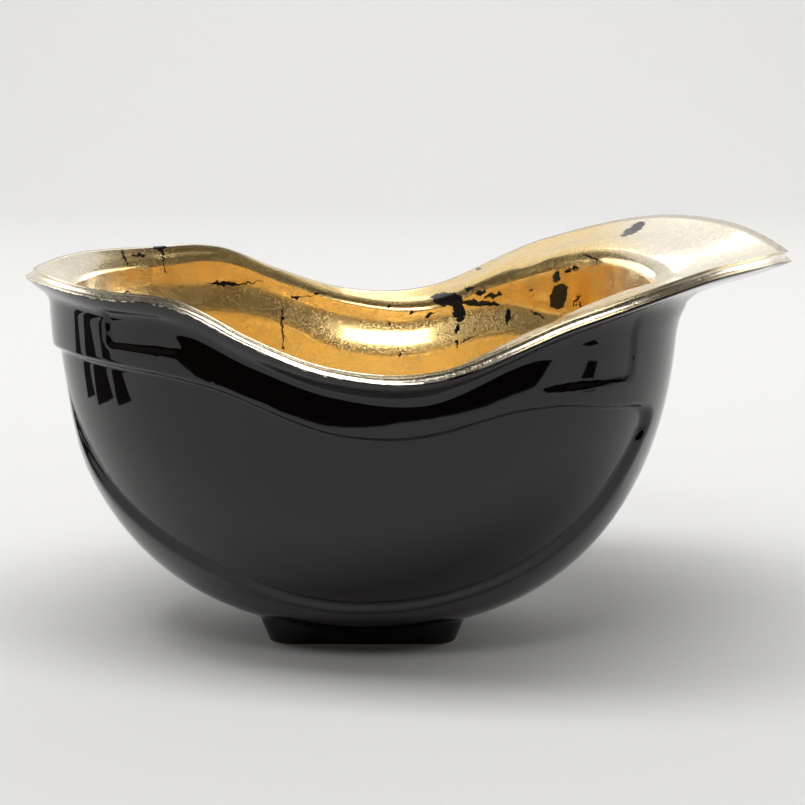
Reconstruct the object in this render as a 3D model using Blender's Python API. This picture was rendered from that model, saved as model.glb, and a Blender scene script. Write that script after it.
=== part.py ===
"""A slip-cast bowl taken from the upturned shell of a safety hat, standing on a small foot.

Metres. The table is Z = 0 and the origin is the middle of the foot's flat underside.
The broad peak points along +X and the nape along -X, and both sides are alike.
Turns are angles round Z in degrees: 0 is the peak, 90 an ear and 180 the nape.
"""
import bpy
import numpy as np

# The whole bowl. The free form below keeps its proportions as shares of these.
LENGTH = 0.279
WIDTH = 0.2166
HEIGHT = 0.1472
# The rim, at the middle of the rounded lip, by turn. Its reach is a share of LENGTH toward
# the peak and the nape and of WIDTH toward the ears, and its rise is a share of HEIGHT.
RIM_REACH = {
    0: 0.5566, 15: 0.5500, 30: 0.5537, 45: 0.5513, 60: 0.5274, 75: 0.4875, 90: 0.4534,
    105: 0.4297, 120: 0.4115, 135: 0.4088, 150: 0.4177, 165: 0.4243, 180: 0.4358,
}
RIM_RISE = {
    0: 0.9565, 18: 0.9857, 36: 0.9810, 55: 0.9035, 75: 0.7772, 95: 0.7751,
    112: 0.8349, 128: 0.9076, 145: 0.9158, 163: 0.9226, 180: 0.9124,
}
LIP_THICK = 0.0038
# The dome of the hat, at the level of its raised bands.
WALL_FRONT = 0.413 * LENGTH
WALL_BACK = 0.410 * LENGTH
WALL_WIDTH = 0.836 * WIDTH
WALL_FRONT_POWER = 2.20
WALL_BACK_POWER = 1.95
WALL_TOP = 0.920 * HEIGHT
CROWN_HEIGHT = 0.0030
DOME_POWER = 2.41
WALL_THICK = 0.0050
# The flange that turns out from the wall to the lip: how far below the lip it starts, as a
# share of HEIGHT, and its tilt at the lip. Inside, it starts higher up, with a sharper turn.
FLANGE_DROP = {0: 0.204, 25: 0.197, 50: 0.143, 80: 0.082, 130: 0.075, 180: 0.078}
FLANGE_TILT = {0: 23.0, 30: 30.0, 60: 45.0, 90: 62.0, 120: 70.0, 150: 58.0, 180: 45.0}
FLANGE_BENDS = (0.42, 0.59)
INNER_DROP = {0: 0.120, 20: 0.110, 35: 0.112, 52: 0.105, 80: 0.045, 130: 0.040, 180: 0.055}
INNER_TILT = {0: 25.0, 30: 25.0, 55: 19.0, 90: 19.0, 120: 34.0, 150: 40.0, 180: 45.0}
INNER_BENDS = (0.20, 0.45)
# The relief: a rim band and a crown band stand proud of two side panels.
RELIEF = 0.0026
STEP = 0.0030
PANEL_CORNER = 0.012
RIM_BAND_EDGE = {
    0: 0.577, 22: 0.622, 36: 0.649, 48: 0.666, 56: 0.661, 63: 0.644, 71: 0.620, 79: 0.606,
    87: 0.607, 96: 0.620, 104: 0.647, 112: 0.681, 119: 0.708, 128: 0.728, 148: 0.742, 180: 0.737,
}
CROWN_WIDTH = 0.503 * WIDTH
CROWN_FRONT = 0.1075 * LENGTH
CROWN_FRONT_LENGTH = 0.369 * LENGTH
CROWN_FRONT_POWER = 2.0
CROWN_BACK = -0.1434 * LENGTH
CROWN_BACK_LENGTH = 0.2724 * LENGTH
CROWN_BACK_POWER = 1.6
CROWN_TIP = 0.036
CROWN_FADE_TOP = 0.666 * HEIGHT
CROWN_FADE_BOTTOM = 0.408 * HEIGHT
NAPE_FADE = 0.072 * LENGTH
# Two recesses a side in the rim band, where a hat takes its accessories. The front one
# goes on round the peak above a ledge. The rear one has none, so its ledge is above the rim.
SLOT_DEPTH = 0.0018
SLOT_STEP = 0.0020
SLOT_CORNER = 0.005
FRONT_SLOT_TURN = 30.5
FRONT_SLOT_FLOOR = 0.711 * HEIGHT
FRONT_SLOT_LEDGE = 0.842 * HEIGHT
FRONT_SLOT_SPAN = 18.0
REAR_SLOT_TURN = 146.0
REAR_SLOT_FLOOR = 0.792 * HEIGHT
REAR_SLOT_LEDGE = 1.1 * HEIGHT
REAR_SLOT_SPAN = 17.0
SLOT_FADE = 9.0
# The relief dies out on the flange, counted in runs: 1 is the flange's root and 2 the lip.
RELIEF_END = 1.75
RELIEF_FADE = 0.5
# Inside, the relief is softer and its ledge lies a little higher.
INNER_RELIEF = 0.0036
INNER_STEP = 0.0110
INNER_RISE = 0.0070
# The foot. Its flare is how far the side leans out for each metre up.
FOOT_LENGTH = 0.069
FOOT_WIDTH = 0.0546
FOOT_CORNER = 0.009
FOOT_FLARE = 0.37
FOOT_EDGE = 0.0006
# Facets.
COLUMNS = 78
COLUMN_ROOM = 0.45
SLOT_COLUMNS = 3
SLOT_COLUMN_SPREAD = 0.75
FOOT_ROWS = 3
DOME_ROWS = 27
DOME_ROW_SHARES = (0.18, 0.18, 0.30, 0.18, 0.16)
FLANGE_ROWS = 6
LIP_ROWS = 4
INNER_ROWS = 15
# Small steps for working out directions and crossings.
NEAR_TURN = 0.5
NEAR_RUN = 0.004
NEAR_PLAN = 0.0005
NEAR_STEP = 0.022
BAND_ROOM = 0.12
RUN_TRIES = 240


def smooth(value):
    """0 below 0, 1 above 1 and an S between."""
    t = np.clip(value, 0.0, 1.0)
    return t * t * (3.0 - 2.0 * t)


def round_min(a, b, radius):
    """The smaller of two distances, with a rounded corner where they meet."""
    t = np.clip(0.5 + 0.5 * (b - a) / radius, 0.0, 1.0)
    return b + (a - b) * t - radius * t * (1.0 - t) / 2.0


def round_max(a, b, radius):
    """The larger of two distances, with a rounded corner where they meet."""
    return -round_min(-a, -b, radius)


def along(stations, turn):
    """A smooth curve through {turn: value}, the same on both sides of the bowl."""
    at = np.array(sorted(stations), float)
    value = np.array([stations[key] for key in sorted(stations)])
    slope = np.gradient(value, at)
    slope[0] = slope[-1] = 0.0
    turn = np.abs((np.asarray(turn, float) + 180.0) % 360.0 - 180.0)
    k = np.clip(np.searchsorted(at, turn) - 1, 0, len(at) - 2)
    gap = at[k + 1] - at[k]
    t = (turn - at[k]) / gap
    start = value[k] * (2 * t**3 - 3 * t**2 + 1) + gap * slope[k] * (t**3 - 2 * t**2 + t)
    end = value[k + 1] * (3 * t**2 - 2 * t**3) + gap * slope[k + 1] * (t**3 - t**2)
    return start + end


def rim_reach(turn):
    across = np.hypot(LENGTH * np.cos(np.radians(turn)), WIDTH * np.sin(np.radians(turn)))
    return along(RIM_REACH, turn) * across


def rim_height(turn):
    return HEIGHT * along(RIM_RISE, turn)


def wall_reach(turn):
    """Distance from the Z axis to the upright wall: a superellipse with its own front and back."""
    cos, sin = np.cos(np.radians(turn)), np.sin(np.radians(turn))
    end = np.where(cos > 0, WALL_FRONT, WALL_BACK)
    power = np.where(cos > 0, WALL_FRONT_POWER, WALL_BACK_POWER)
    across = np.abs(sin / (WALL_WIDTH / 2)) ** power
    return (np.abs(cos / end) ** power + across) ** (-1.0 / power)


def dome(turn, sink):
    """(distance from the axis, height) on the dome: sink 0 is the wall's top and 1 the crown."""
    angle = np.radians(90.0 * np.clip(sink, 0.0, 1.0))
    out = wall_reach(turn) * np.cos(angle) ** (2.0 / DOME_POWER)
    drop = (WALL_TOP - CROWN_HEIGHT) * np.sin(angle) ** (2.0 / DOME_POWER)
    return out, WALL_TOP - drop


def dome_way(turn, sink):
    """The direction up the dome's profile, as (out, up)."""
    low_out, low_height = dome(turn, np.clip(sink + NEAR_RUN, 2 * NEAR_RUN, 1.0))
    high_out, high_height = dome(turn, np.clip(sink - NEAR_RUN, 0.0, 1.0 - 2 * NEAR_RUN))
    length = np.hypot(high_out - low_out, high_height - low_height)
    return (high_out - low_out) / length, (high_height - low_height) / length


def dome_inside(turn, sink):
    """(distance, height) on the dome's inner side, one wall's thickness in."""
    out, height = dome(turn, sink)
    way_out, way_up = dome_way(turn, sink)
    return out - WALL_THICK * way_up, height + WALL_THICK * way_out


def sink_at_height(height):
    part = np.clip((WALL_TOP - height) / (WALL_TOP - CROWN_HEIGHT), 0.0, 1.0)
    return np.degrees(np.arcsin(part ** (DOME_POWER / 2.0))) / 90.0


def sink_at_reach(turn, distance):
    part = np.clip(distance / wall_reach(turn), 0.0, 1.0)
    return np.degrees(np.arccos(part ** (DOME_POWER / 2.0))) / 90.0


def root_sink(turn, drops):
    """Where the flange starts on the dome."""
    return sink_at_height(rim_height(turn) - HEIGHT * along(drops, turn))


def rim_edge(turn, side):
    """(distance, height) where the lip's rounding starts: side 1 is the outer one and -1 the inner."""
    tilt = np.radians(along(FLANGE_TILT, turn))
    out = rim_reach(turn) + side * LIP_THICK / 2 * np.sin(tilt)
    return out, rim_height(turn) - side * LIP_THICK / 2 * np.cos(tilt)


def flange(turn, t, root, drops, end, tilts, bends):
    """(distance, height) on the flange: a curve from its root in the wall to the edge of the lip."""
    root_out, root_height = root
    end_out, end_height = end
    way_out, way_up = dome_way(turn, root_sink(turn, drops))
    tilt = np.radians(along(tilts, turn))
    span = np.hypot(end_out - root_out, end_height - root_height)
    first_out = root_out + bends[0] * span * way_out
    first_height = root_height + bends[0] * span * way_up
    second_out = end_out - bends[1] * span * np.cos(tilt)
    second_height = end_height - bends[1] * span * np.sin(tilt)
    a, b, c, d = (1 - t) ** 3, 3 * t * (1 - t) ** 2, 3 * t * t * (1 - t), t**3
    out = a * root_out + b * first_out + c * second_out + d * end_out
    return out, a * root_height + b * first_height + c * second_height + d * end_height


def points_of(turn, run, low, high):
    """Points in space from the profile below the flange's root and the one above it."""
    out = np.where(run > 1.0, high[0], low[0])
    height = np.where(run > 1.0, high[1], low[1])
    angle = np.radians(turn)
    return np.stack([out * np.cos(angle), out * np.sin(angle), height], -1)


def shell(turn, run):
    """Points of the outer side without its relief: run 0 is the crown, 1 the flange's root, 2 the lip."""
    sink = root_sink(turn, FLANGE_DROP)
    low = dome(turn, 1.0 - np.clip(run, 0.0, 1.0) * (1.0 - sink))
    high = flange(
        turn, np.clip(run - 1.0, 0.0, 1.0), dome(turn, sink), FLANGE_DROP,
        rim_edge(turn, 1.0), FLANGE_TILT, FLANGE_BENDS,
    )
    return points_of(turn, run, low, high)


def lining(turn, run):
    """Points of the inner side without its relief, by the same runs."""
    sink = root_sink(turn, INNER_DROP)
    low = dome_inside(turn, 1.0 - np.clip(run, 0.0, 1.0) * (1.0 - sink))
    high = flange(
        turn, np.clip(run - 1.0, 0.0, 1.0), dome_inside(turn, sink), INNER_DROP,
        rim_edge(turn, -1.0), INNER_TILT, INNER_BENDS,
    )
    return points_of(turn, run, low, high)


def outward(surface, turn, run):
    """The direction out of the shell, or out of its lining."""
    run_low = np.clip(run - NEAR_RUN, NEAR_RUN, 2.0)
    run_high = np.clip(run + NEAR_RUN, 3 * NEAR_RUN, 2.0)
    across = surface(turn + NEAR_TURN, run) - surface(turn - NEAR_TURN, run)
    normal = np.cross(across, surface(turn, run_high) - surface(turn, run_low))
    return normal / np.linalg.norm(normal, axis=-1, keepdims=True)


def crown_half(x):
    """Half the crown band's width: it narrows toward the front and more toward the nape."""
    ahead = np.maximum((x - CROWN_FRONT) / CROWN_FRONT_LENGTH, 0.0)
    behind = np.maximum((CROWN_BACK - x) / CROWN_BACK_LENGTH, 0.0)
    front = np.maximum(1.0 - ahead**CROWN_FRONT_POWER, CROWN_TIP) ** (1.0 / CROWN_FRONT_POWER)
    back = np.maximum(1.0 - behind**CROWN_BACK_POWER, CROWN_TIP) ** (1.0 / CROWN_BACK_POWER)
    return CROWN_WIDTH / 2 * front * back


def crown_gap(x, y):
    """Distance in plan from the crown band's edge: above 0 is outside the band."""
    narrowing = (crown_half(x + NEAR_PLAN) - crown_half(x - NEAR_PLAN)) / (2 * NEAR_PLAN)
    return (np.abs(y) - crown_half(x)) / np.hypot(1.0, narrowing)


def rim_gap(turn, height):
    """Distance below the rim band's lower edge, square to that edge."""
    edge = HEIGHT * along(RIM_BAND_EDGE, turn)
    before, after = along(RIM_BAND_EDGE, turn - NEAR_TURN), along(RIM_BAND_EDGE, turn + NEAR_TURN)
    climb = HEIGHT * (after - before) / (np.radians(2 * NEAR_TURN) * wall_reach(turn))
    return (edge - height) / np.hypot(1.0, climb)


def panel_depth(point, turn, height, step):
    """1 in the side panels and round the nape, 0 on the bands."""
    below_rim = rim_gap(turn, height)
    beside_crown = crown_gap(point[..., 0], point[..., 1])
    gap = round_min(below_rim, beside_crown, PANEL_CORNER)
    fade = (height - CROWN_FADE_BOTTOM) / (CROWN_FADE_TOP - CROWN_FADE_BOTTOM)
    tail = smooth(fade) * smooth(-point[..., 0] / NAPE_FADE) * smooth(below_rim / step + 0.5)
    return np.maximum(smooth(gap / step + 0.5), tail)


def slot_depth(turn, height, past, floor, ledge, span, step):
    """1 in one recess: past is the turn from its upright end, and it fades out toward the ear."""
    beside = np.radians(past) * wall_reach(turn)
    gap = round_min(round_max(beside, height - ledge, SLOT_CORNER), height - floor, SLOT_CORNER)
    return smooth(gap / step + 0.5) * smooth((span - past) / SLOT_FADE + 0.5)


def depth(point, turn, run, relief, step, rise):
    """How far the surface lies under the level of the bands. It dies out on the flange."""
    height = point[..., 2] - rise
    side = np.abs((turn + 180.0) % 360.0 - 180.0)
    slot_step = step * SLOT_STEP / STEP
    front = slot_depth(
        turn, height, side - FRONT_SLOT_TURN, FRONT_SLOT_FLOOR, FRONT_SLOT_LEDGE,
        FRONT_SLOT_SPAN, slot_step,
    )
    rear = slot_depth(
        turn, height, REAR_SLOT_TURN - side, REAR_SLOT_FLOOR, REAR_SLOT_LEDGE,
        REAR_SLOT_SPAN, slot_step,
    )
    slots = np.maximum(front, rear) * SLOT_DEPTH / RELIEF
    level = np.maximum(panel_depth(point, turn, height, step), slots)
    return relief * level * smooth((RELIEF_END - run) / RELIEF_FADE)


def outer(turn, run):
    point = shell(turn, run)
    sunk = depth(point, turn, run, RELIEF, STEP, 0.0)
    return point - outward(shell, turn, run) * sunk[..., None]


def inner(turn, run):
    point = lining(turn, run)
    sunk = depth(point, turn, run, INNER_RELIEF, INNER_STEP, INNER_RISE)
    return point - outward(lining, turn, run) * sunk[..., None]


def lip(turn, t):
    """The rounded lip between the outer and the inner side: t 0 is the outer one."""
    start, end = outer(turn, np.full_like(turn, 2.0)), inner(turn, np.full_like(turn, 2.0))
    middle, half = (start + end) / 2, (start - end) / 2
    radius = np.linalg.norm(half, axis=-1, keepdims=True)
    around = np.stack([-np.sin(np.radians(turn)), np.cos(np.radians(turn)), np.zeros_like(turn)], -1)
    away = np.cross(half, around)
    away *= radius / np.linalg.norm(away, axis=-1, keepdims=True)
    return middle + half * np.cos(np.pi * t) - away * np.sin(np.pi * t)


def foot_reach(turn, grow):
    """Distance from the axis to the foot's rounded oblong, made larger by grow all round."""
    cos, sin = np.abs(np.cos(np.radians(turn))), np.abs(np.sin(np.radians(turn)))
    half_x, half_y = FOOT_LENGTH / 2 + grow, FOOT_WIDTH / 2 + grow
    corner = FOOT_CORNER + grow
    straight = np.minimum(half_x / np.maximum(cos, 1e-9), half_y / np.maximum(sin, 1e-9))
    centre_x, centre_y = half_x - corner, half_y - corner
    toward = centre_x * cos + centre_y * sin
    rest = corner**2 - (centre_x * sin - centre_y * cos) ** 2
    curved = toward + np.sqrt(np.maximum(rest, 0.0))
    in_corner = (straight * cos > centre_x) & (straight * sin > centre_y)
    return np.where(in_corner, np.minimum(curved, straight), straight)


def foot_ring(turn, grow, height):
    """Points of the foot's outline at one height."""
    out, angle = foot_reach(turn, grow), np.radians(turn)
    return np.stack([out * np.cos(angle), out * np.sin(angle), np.full_like(turn, height)], -1)


def foot_top(turn):
    """(run, point) where the foot's flared side meets the dome."""
    run = np.zeros_like(turn)
    grow = np.zeros_like(turn)
    for _ in range(8):
        sink = sink_at_reach(turn, foot_reach(turn, grow))
        run = (1.0 - sink) / (1.0 - root_sink(turn, FLANGE_DROP))
        grow = FOOT_FLARE * outer(turn, run)[..., 2]
    return run, outer(turn, run)


def band_runs(turn):
    """The runs at which this column crosses the crown band's edge and the rim band's."""
    tries = np.linspace(0.0, 1.0, RUN_TRIES)
    points = shell(np.full_like(tries, turn), tries)
    off_crown = crown_gap(points[:, 0], points[:, 1]) > 0
    rim = tries[np.argmax(rim_gap(np.full_like(tries, turn), points[:, 2]) < 0)]
    crown = tries[np.argmax(off_crown)] if off_crown.any() else 1.0
    return min(crown, rim - BAND_ROOM), rim


def spread(start, crown, rim):
    """Rows of the outer side from the foot to the flange's root, closer on the two steps."""
    edges = [start, crown - NEAR_STEP, crown + NEAR_STEP, rim - NEAR_STEP, rim + NEAR_STEP, 1.0]
    counts = np.maximum(np.round(np.array(DOME_ROW_SHARES) * DOME_ROWS), 1).astype(int)
    counts[2] += DOME_ROWS - counts.sum()
    edges = np.maximum.accumulate(np.array(edges) + np.arange(len(edges)) * 1e-4)
    pieces = [np.linspace(a, b, n, endpoint=False) for a, b, n in zip(edges, edges[1:], counts)]
    return np.concatenate(pieces)


def column_turns():
    """Turns of the columns, closer together at the upright ends of the slots."""
    even = np.arange(COLUMNS) * 360.0 / COLUMNS
    extra = [
        side * (turn + shift)
        for turn in (FRONT_SLOT_TURN, REAR_SLOT_TURN)
        for side in (-1.0, 1.0)
        for shift in np.linspace(-SLOT_COLUMN_SPREAD, SLOT_COLUMN_SPREAD, SLOT_COLUMNS)
    ]
    extra = np.array(extra) % 360.0
    room = COLUMN_ROOM * 360.0 / COLUMNS
    apart = np.abs((even[:, None] - extra[None, :] + 180.0) % 360.0 - 180.0).min(axis=1)
    return np.sort(np.concatenate([even[apart > room], extra]))


def rings(turns):
    """Every ring of points from the middle of the underside, out, up and back down inside."""
    run_start, top = foot_top(turns)
    made = [foot_ring(turns, -FOOT_EDGE, 0.0)]
    low = foot_ring(turns, 0.0, FOOT_EDGE)
    for t in np.linspace(0.0, 1.0, FOOT_ROWS, endpoint=False):
        made.append(low + (top - low) * t)
    crossings = [band_runs(turn) for turn in turns]
    runs = np.stack([spread(start, *crossing) for start, crossing in zip(run_start, crossings)])
    made += [outer(turns, run) for run in runs.T]
    made += [outer(turns, np.full_like(turns, 1.0 + t)) for t in np.linspace(0.0, 1.0, FLANGE_ROWS)]
    made += [lip(turns, t) for t in np.linspace(0.0, 1.0, LIP_ROWS + 1)[1:-1]]
    made += [inner(turns, np.full_like(turns, 1.0 + t)) for t in np.linspace(1.0, 0.0, FLANGE_ROWS)]
    for t in np.linspace(1.0, 0.0, INNER_ROWS + 1)[1:-1]:
        made.append(inner(turns, np.full_like(turns, t)))
    return made


def build():
    turns = column_turns()
    made = rings(turns)
    columns = len(turns)
    floor = CROWN_HEIGHT + WALL_THICK
    vertices = np.concatenate(made + [[(0.0, 0.0, 0.0)], [(0.0, 0.0, floor)]])
    bottom, inside = len(vertices) - 2, len(vertices) - 1
    faces = []
    for ring in range(len(made) - 1):
        for k in range(columns):
            a, b = ring * columns + k, ring * columns + (k + 1) % columns
            faces.append((a, b, b + columns, a + columns))
    last = (len(made) - 1) * columns
    for k in range(columns):
        after = (k + 1) % columns
        faces.append((bottom, after, k))
        faces.append((inside, last + k, last + after))
    mesh = bpy.data.meshes.new("bowl")
    mesh.from_pydata([tuple(v) for v in vertices], [], faces)
    mesh.update()
    bowl = bpy.data.objects.new("bowl", mesh)
    bpy.context.collection.objects.link(bowl)
    return bowl


def black_glaze():
    material = bpy.data.materials.new("black_glaze")
    material.use_nodes = True
    shader = material.node_tree.nodes["Principled BSDF"]
    shader.inputs["Base Color"].default_value = (0.010, 0.009, 0.009, 1.0)
    shader.inputs["Roughness"].default_value = 0.08
    return material


for item in list(bpy.data.objects):
    bpy.data.objects.remove(item, do_unlink=True)
build().data.materials.append(black_glaze())
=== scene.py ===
# %% [markdown]
# # Dressing a bowl cast from a safety hat
# The solid is already made: one closed piece in metres, with the table at Z = 0, the broad peak
# along +X and the nape along -X. Here it gets its looks: a finely divided skin of the same
# shape, black glaze outside, gold leaf inside, and the light of a small studio.

import math

import bpy
import numpy as np
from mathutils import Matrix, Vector


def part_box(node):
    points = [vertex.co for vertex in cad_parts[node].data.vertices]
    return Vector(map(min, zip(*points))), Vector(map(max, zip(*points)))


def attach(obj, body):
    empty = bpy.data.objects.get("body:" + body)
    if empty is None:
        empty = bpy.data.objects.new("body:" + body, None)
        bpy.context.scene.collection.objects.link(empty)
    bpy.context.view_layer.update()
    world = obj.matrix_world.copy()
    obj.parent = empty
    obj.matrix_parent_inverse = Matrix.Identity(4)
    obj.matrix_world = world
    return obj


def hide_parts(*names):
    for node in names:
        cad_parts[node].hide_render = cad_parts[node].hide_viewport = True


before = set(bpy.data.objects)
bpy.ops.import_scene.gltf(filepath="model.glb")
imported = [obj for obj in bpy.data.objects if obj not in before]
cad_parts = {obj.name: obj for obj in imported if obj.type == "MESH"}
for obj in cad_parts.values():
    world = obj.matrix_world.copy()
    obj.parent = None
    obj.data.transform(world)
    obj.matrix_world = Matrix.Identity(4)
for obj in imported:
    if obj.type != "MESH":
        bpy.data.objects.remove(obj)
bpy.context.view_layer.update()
bowl_low, bowl_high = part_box("bowl")
print("bowl box", bowl_low, bowl_high)

# %% [markdown]
# ## The shape of the bowl
# The real bowl was slip cast in a mould taken from a hat, so its outside is the hat turned over.
# The same driving sizes as the solid's give every point here: a dome with its own front and back,
# a rim that dips at the ears, two raised bands with side panels between them, and two shallow
# recesses a side. A turn is an angle round Z in degrees: 0 is the peak and 180 the nape. A run
# goes up the side: 0 is the crown, 1 the root of the flange and 2 the lip.

# %% Sizes of the bowl, in metres
# The whole bowl. The free form below keeps its proportions as shares of these.
LENGTH = 0.279
WIDTH = 0.2166
HEIGHT = 0.1472
# The rim, at the middle of the rounded lip, by turn. Its reach is a share of LENGTH toward
# the peak and the nape and of WIDTH toward the ears, and its rise is a share of HEIGHT.
RIM_REACH = {
    0: 0.5566, 15: 0.5500, 30: 0.5537, 45: 0.5513, 60: 0.5274, 75: 0.4875, 90: 0.4534,
    105: 0.4297, 120: 0.4115, 135: 0.4088, 150: 0.4177, 165: 0.4243, 180: 0.4358,
}
RIM_RISE = {
    0: 0.9565, 18: 0.9857, 36: 0.9810, 55: 0.9035, 75: 0.7772, 95: 0.7751,
    112: 0.8349, 128: 0.9076, 145: 0.9158, 163: 0.9226, 180: 0.9124,
}
LIP_THICK = 0.0038
# The dome of the hat, at the level of its raised bands.
WALL_FRONT = 0.413 * LENGTH
WALL_BACK = 0.410 * LENGTH
WALL_WIDTH = 0.836 * WIDTH
WALL_FRONT_POWER = 2.20
WALL_BACK_POWER = 1.95
WALL_TOP = 0.920 * HEIGHT
CROWN_HEIGHT = 0.0030
DOME_POWER = 2.41
WALL_THICK = 0.0050
# The flange that turns out from the wall to the lip: how far below the lip it starts, as a
# share of HEIGHT, and its tilt at the lip. Inside, it starts higher up, with a sharper turn.
FLANGE_DROP = {0: 0.204, 25: 0.197, 50: 0.143, 80: 0.082, 130: 0.075, 180: 0.078}
FLANGE_TILT = {0: 23.0, 30: 30.0, 60: 45.0, 90: 62.0, 120: 70.0, 150: 58.0, 180: 45.0}
FLANGE_BENDS = (0.42, 0.59)
INNER_DROP = {0: 0.120, 20: 0.110, 35: 0.112, 52: 0.105, 80: 0.045, 130: 0.040, 180: 0.055}
INNER_TILT = {0: 25.0, 30: 25.0, 55: 19.0, 90: 19.0, 120: 34.0, 150: 40.0, 180: 45.0}
INNER_BENDS = (0.20, 0.45)
# The relief: a rim band and a crown band stand proud of two side panels.
RELIEF = 0.0026
STEP = 0.0030
PANEL_CORNER = 0.012
RIM_BAND_EDGE = {
    0: 0.577, 22: 0.622, 36: 0.649, 48: 0.666, 56: 0.661, 63: 0.644, 71: 0.620, 79: 0.606,
    87: 0.607, 96: 0.620, 104: 0.647, 112: 0.681, 119: 0.708, 128: 0.728, 148: 0.742, 180: 0.737,
}
CROWN_WIDTH = 0.503 * WIDTH
CROWN_FRONT = 0.1075 * LENGTH
CROWN_FRONT_LENGTH = 0.369 * LENGTH
CROWN_FRONT_POWER = 2.0
CROWN_BACK = -0.1434 * LENGTH
CROWN_BACK_LENGTH = 0.2724 * LENGTH
CROWN_BACK_POWER = 1.6
CROWN_TIP = 0.036
CROWN_FADE_TOP = 0.666 * HEIGHT
CROWN_FADE_BOTTOM = 0.408 * HEIGHT
NAPE_FADE = 0.072 * LENGTH
# Two recesses a side in the rim band, where a hat takes its accessories. The front one
# goes on round the peak above a ledge. The rear one has none, so its ledge is above the rim.
# Their edges look fine in the photograph, so they are shallower here than in the solid.
SLOT_DEPTH = 0.0007
SLOT_STEP = 0.0020
SLOT_CORNER = 0.005
FRONT_SLOT_TURN = 30.5
FRONT_SLOT_FLOOR = 0.711 * HEIGHT
FRONT_SLOT_LEDGE = 0.842 * HEIGHT
FRONT_SLOT_SPAN = 18.0
REAR_SLOT_TURN = 146.0
REAR_SLOT_FLOOR = 0.792 * HEIGHT
REAR_SLOT_LEDGE = 1.1 * HEIGHT
REAR_SLOT_SPAN = 17.0
SLOT_FADE = 9.0
# The relief dies out on the flange, counted in runs: 1 is the flange's root and 2 the lip.
RELIEF_END = 1.75
RELIEF_FADE = 0.5
# Inside, the relief is softer and its ledge lies a little higher.
INNER_RELIEF = 0.0036
INNER_STEP = 0.0110
INNER_RISE = 0.0070
# The foot. Its flare is how far the side leans out for each metre up.
FOOT_LENGTH = 0.069
FOOT_WIDTH = 0.0546
FOOT_CORNER = 0.009
FOOT_FLARE = 0.37
FOOT_EDGE = 0.0006
FOOT_TOP_ROUNDS = 8
CLAY_TOP = 1.01 * FOOT_EDGE
# Rings and columns of the fine skin.
COLUMNS = 512
FOOT_ROWS = 6
DOME_ROWS = 78
DOME_ROW_SHARES = (0.18, 0.18, 0.30, 0.18, 0.16)
FLANGE_ROWS = 18
LIP_ROWS = 10
INNER_ROWS = 50
# Small steps for working out directions and crossings.
NEAR_TURN = 0.5
NEAR_RUN = 0.004
NEAR_PLAN = 0.0005
NEAR_STEP = 0.022
BAND_ROOM = 0.12
RUN_TRIES = 240
LEAST_ROW = 1e-4
SAME_PLACE = 1e-6


# %% The surfaces
def smooth(value):
    """0 below 0, 1 above 1 and an S between."""
    t = np.clip(value, 0.0, 1.0)
    return t * t * (3.0 - 2.0 * t)


def round_min(a, b, radius):
    """The smaller of two distances, with a rounded corner where they meet."""
    t = np.clip(0.5 + 0.5 * (b - a) / radius, 0.0, 1.0)
    return b + (a - b) * t - radius * t * (1.0 - t) / 2.0


def round_max(a, b, radius):
    """The larger of two distances, with a rounded corner where they meet."""
    return -round_min(-a, -b, radius)


def along(stations, turn):
    """A smooth curve through {turn: value}, the same on both sides of the bowl."""
    at = np.array(sorted(stations), float)
    value = np.array([stations[key] for key in sorted(stations)])
    slope = np.gradient(value, at)
    slope[0] = slope[-1] = 0.0
    turn = np.abs((np.asarray(turn, float) + 180.0) % 360.0 - 180.0)
    k = np.clip(np.searchsorted(at, turn) - 1, 0, len(at) - 2)
    gap = at[k + 1] - at[k]
    t = (turn - at[k]) / gap
    start = value[k] * (2 * t**3 - 3 * t**2 + 1) + gap * slope[k] * (t**3 - 2 * t**2 + t)
    end = value[k + 1] * (3 * t**2 - 2 * t**3) + gap * slope[k + 1] * (t**3 - t**2)
    return start + end


def rim_reach(turn):
    across = np.hypot(LENGTH * np.cos(np.radians(turn)), WIDTH * np.sin(np.radians(turn)))
    return along(RIM_REACH, turn) * across


def rim_height(turn):
    return HEIGHT * along(RIM_RISE, turn)


def wall_reach(turn):
    """Distance from the Z axis to the upright wall: a superellipse with its own front and back."""
    cos, sin = np.cos(np.radians(turn)), np.sin(np.radians(turn))
    end = np.where(cos > 0, WALL_FRONT, WALL_BACK)
    power = np.where(cos > 0, WALL_FRONT_POWER, WALL_BACK_POWER)
    across = np.abs(sin / (WALL_WIDTH / 2)) ** power
    return (np.abs(cos / end) ** power + across) ** (-1.0 / power)


def dome(turn, sink):
    """(distance from the axis, height) on the dome: sink 0 is the wall's top and 1 the crown."""
    angle = np.radians(90.0 * np.clip(sink, 0.0, 1.0))
    out = wall_reach(turn) * np.cos(angle) ** (2.0 / DOME_POWER)
    drop = (WALL_TOP - CROWN_HEIGHT) * np.sin(angle) ** (2.0 / DOME_POWER)
    return out, WALL_TOP - drop


def dome_way(turn, sink):
    """The direction up the dome's profile, as (out, up)."""
    low_out, low_height = dome(turn, np.clip(sink + NEAR_RUN, 2 * NEAR_RUN, 1.0))
    high_out, high_height = dome(turn, np.clip(sink - NEAR_RUN, 0.0, 1.0 - 2 * NEAR_RUN))
    length = np.hypot(high_out - low_out, high_height - low_height)
    return (high_out - low_out) / length, (high_height - low_height) / length


def dome_inside(turn, sink):
    """(distance, height) on the dome's inner side, one wall's thickness in."""
    out, height = dome(turn, sink)
    way_out, way_up = dome_way(turn, sink)
    return out - WALL_THICK * way_up, height + WALL_THICK * way_out


def sink_at_height(height):
    part = np.clip((WALL_TOP - height) / (WALL_TOP - CROWN_HEIGHT), 0.0, 1.0)
    return np.degrees(np.arcsin(part ** (DOME_POWER / 2.0))) / 90.0


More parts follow.
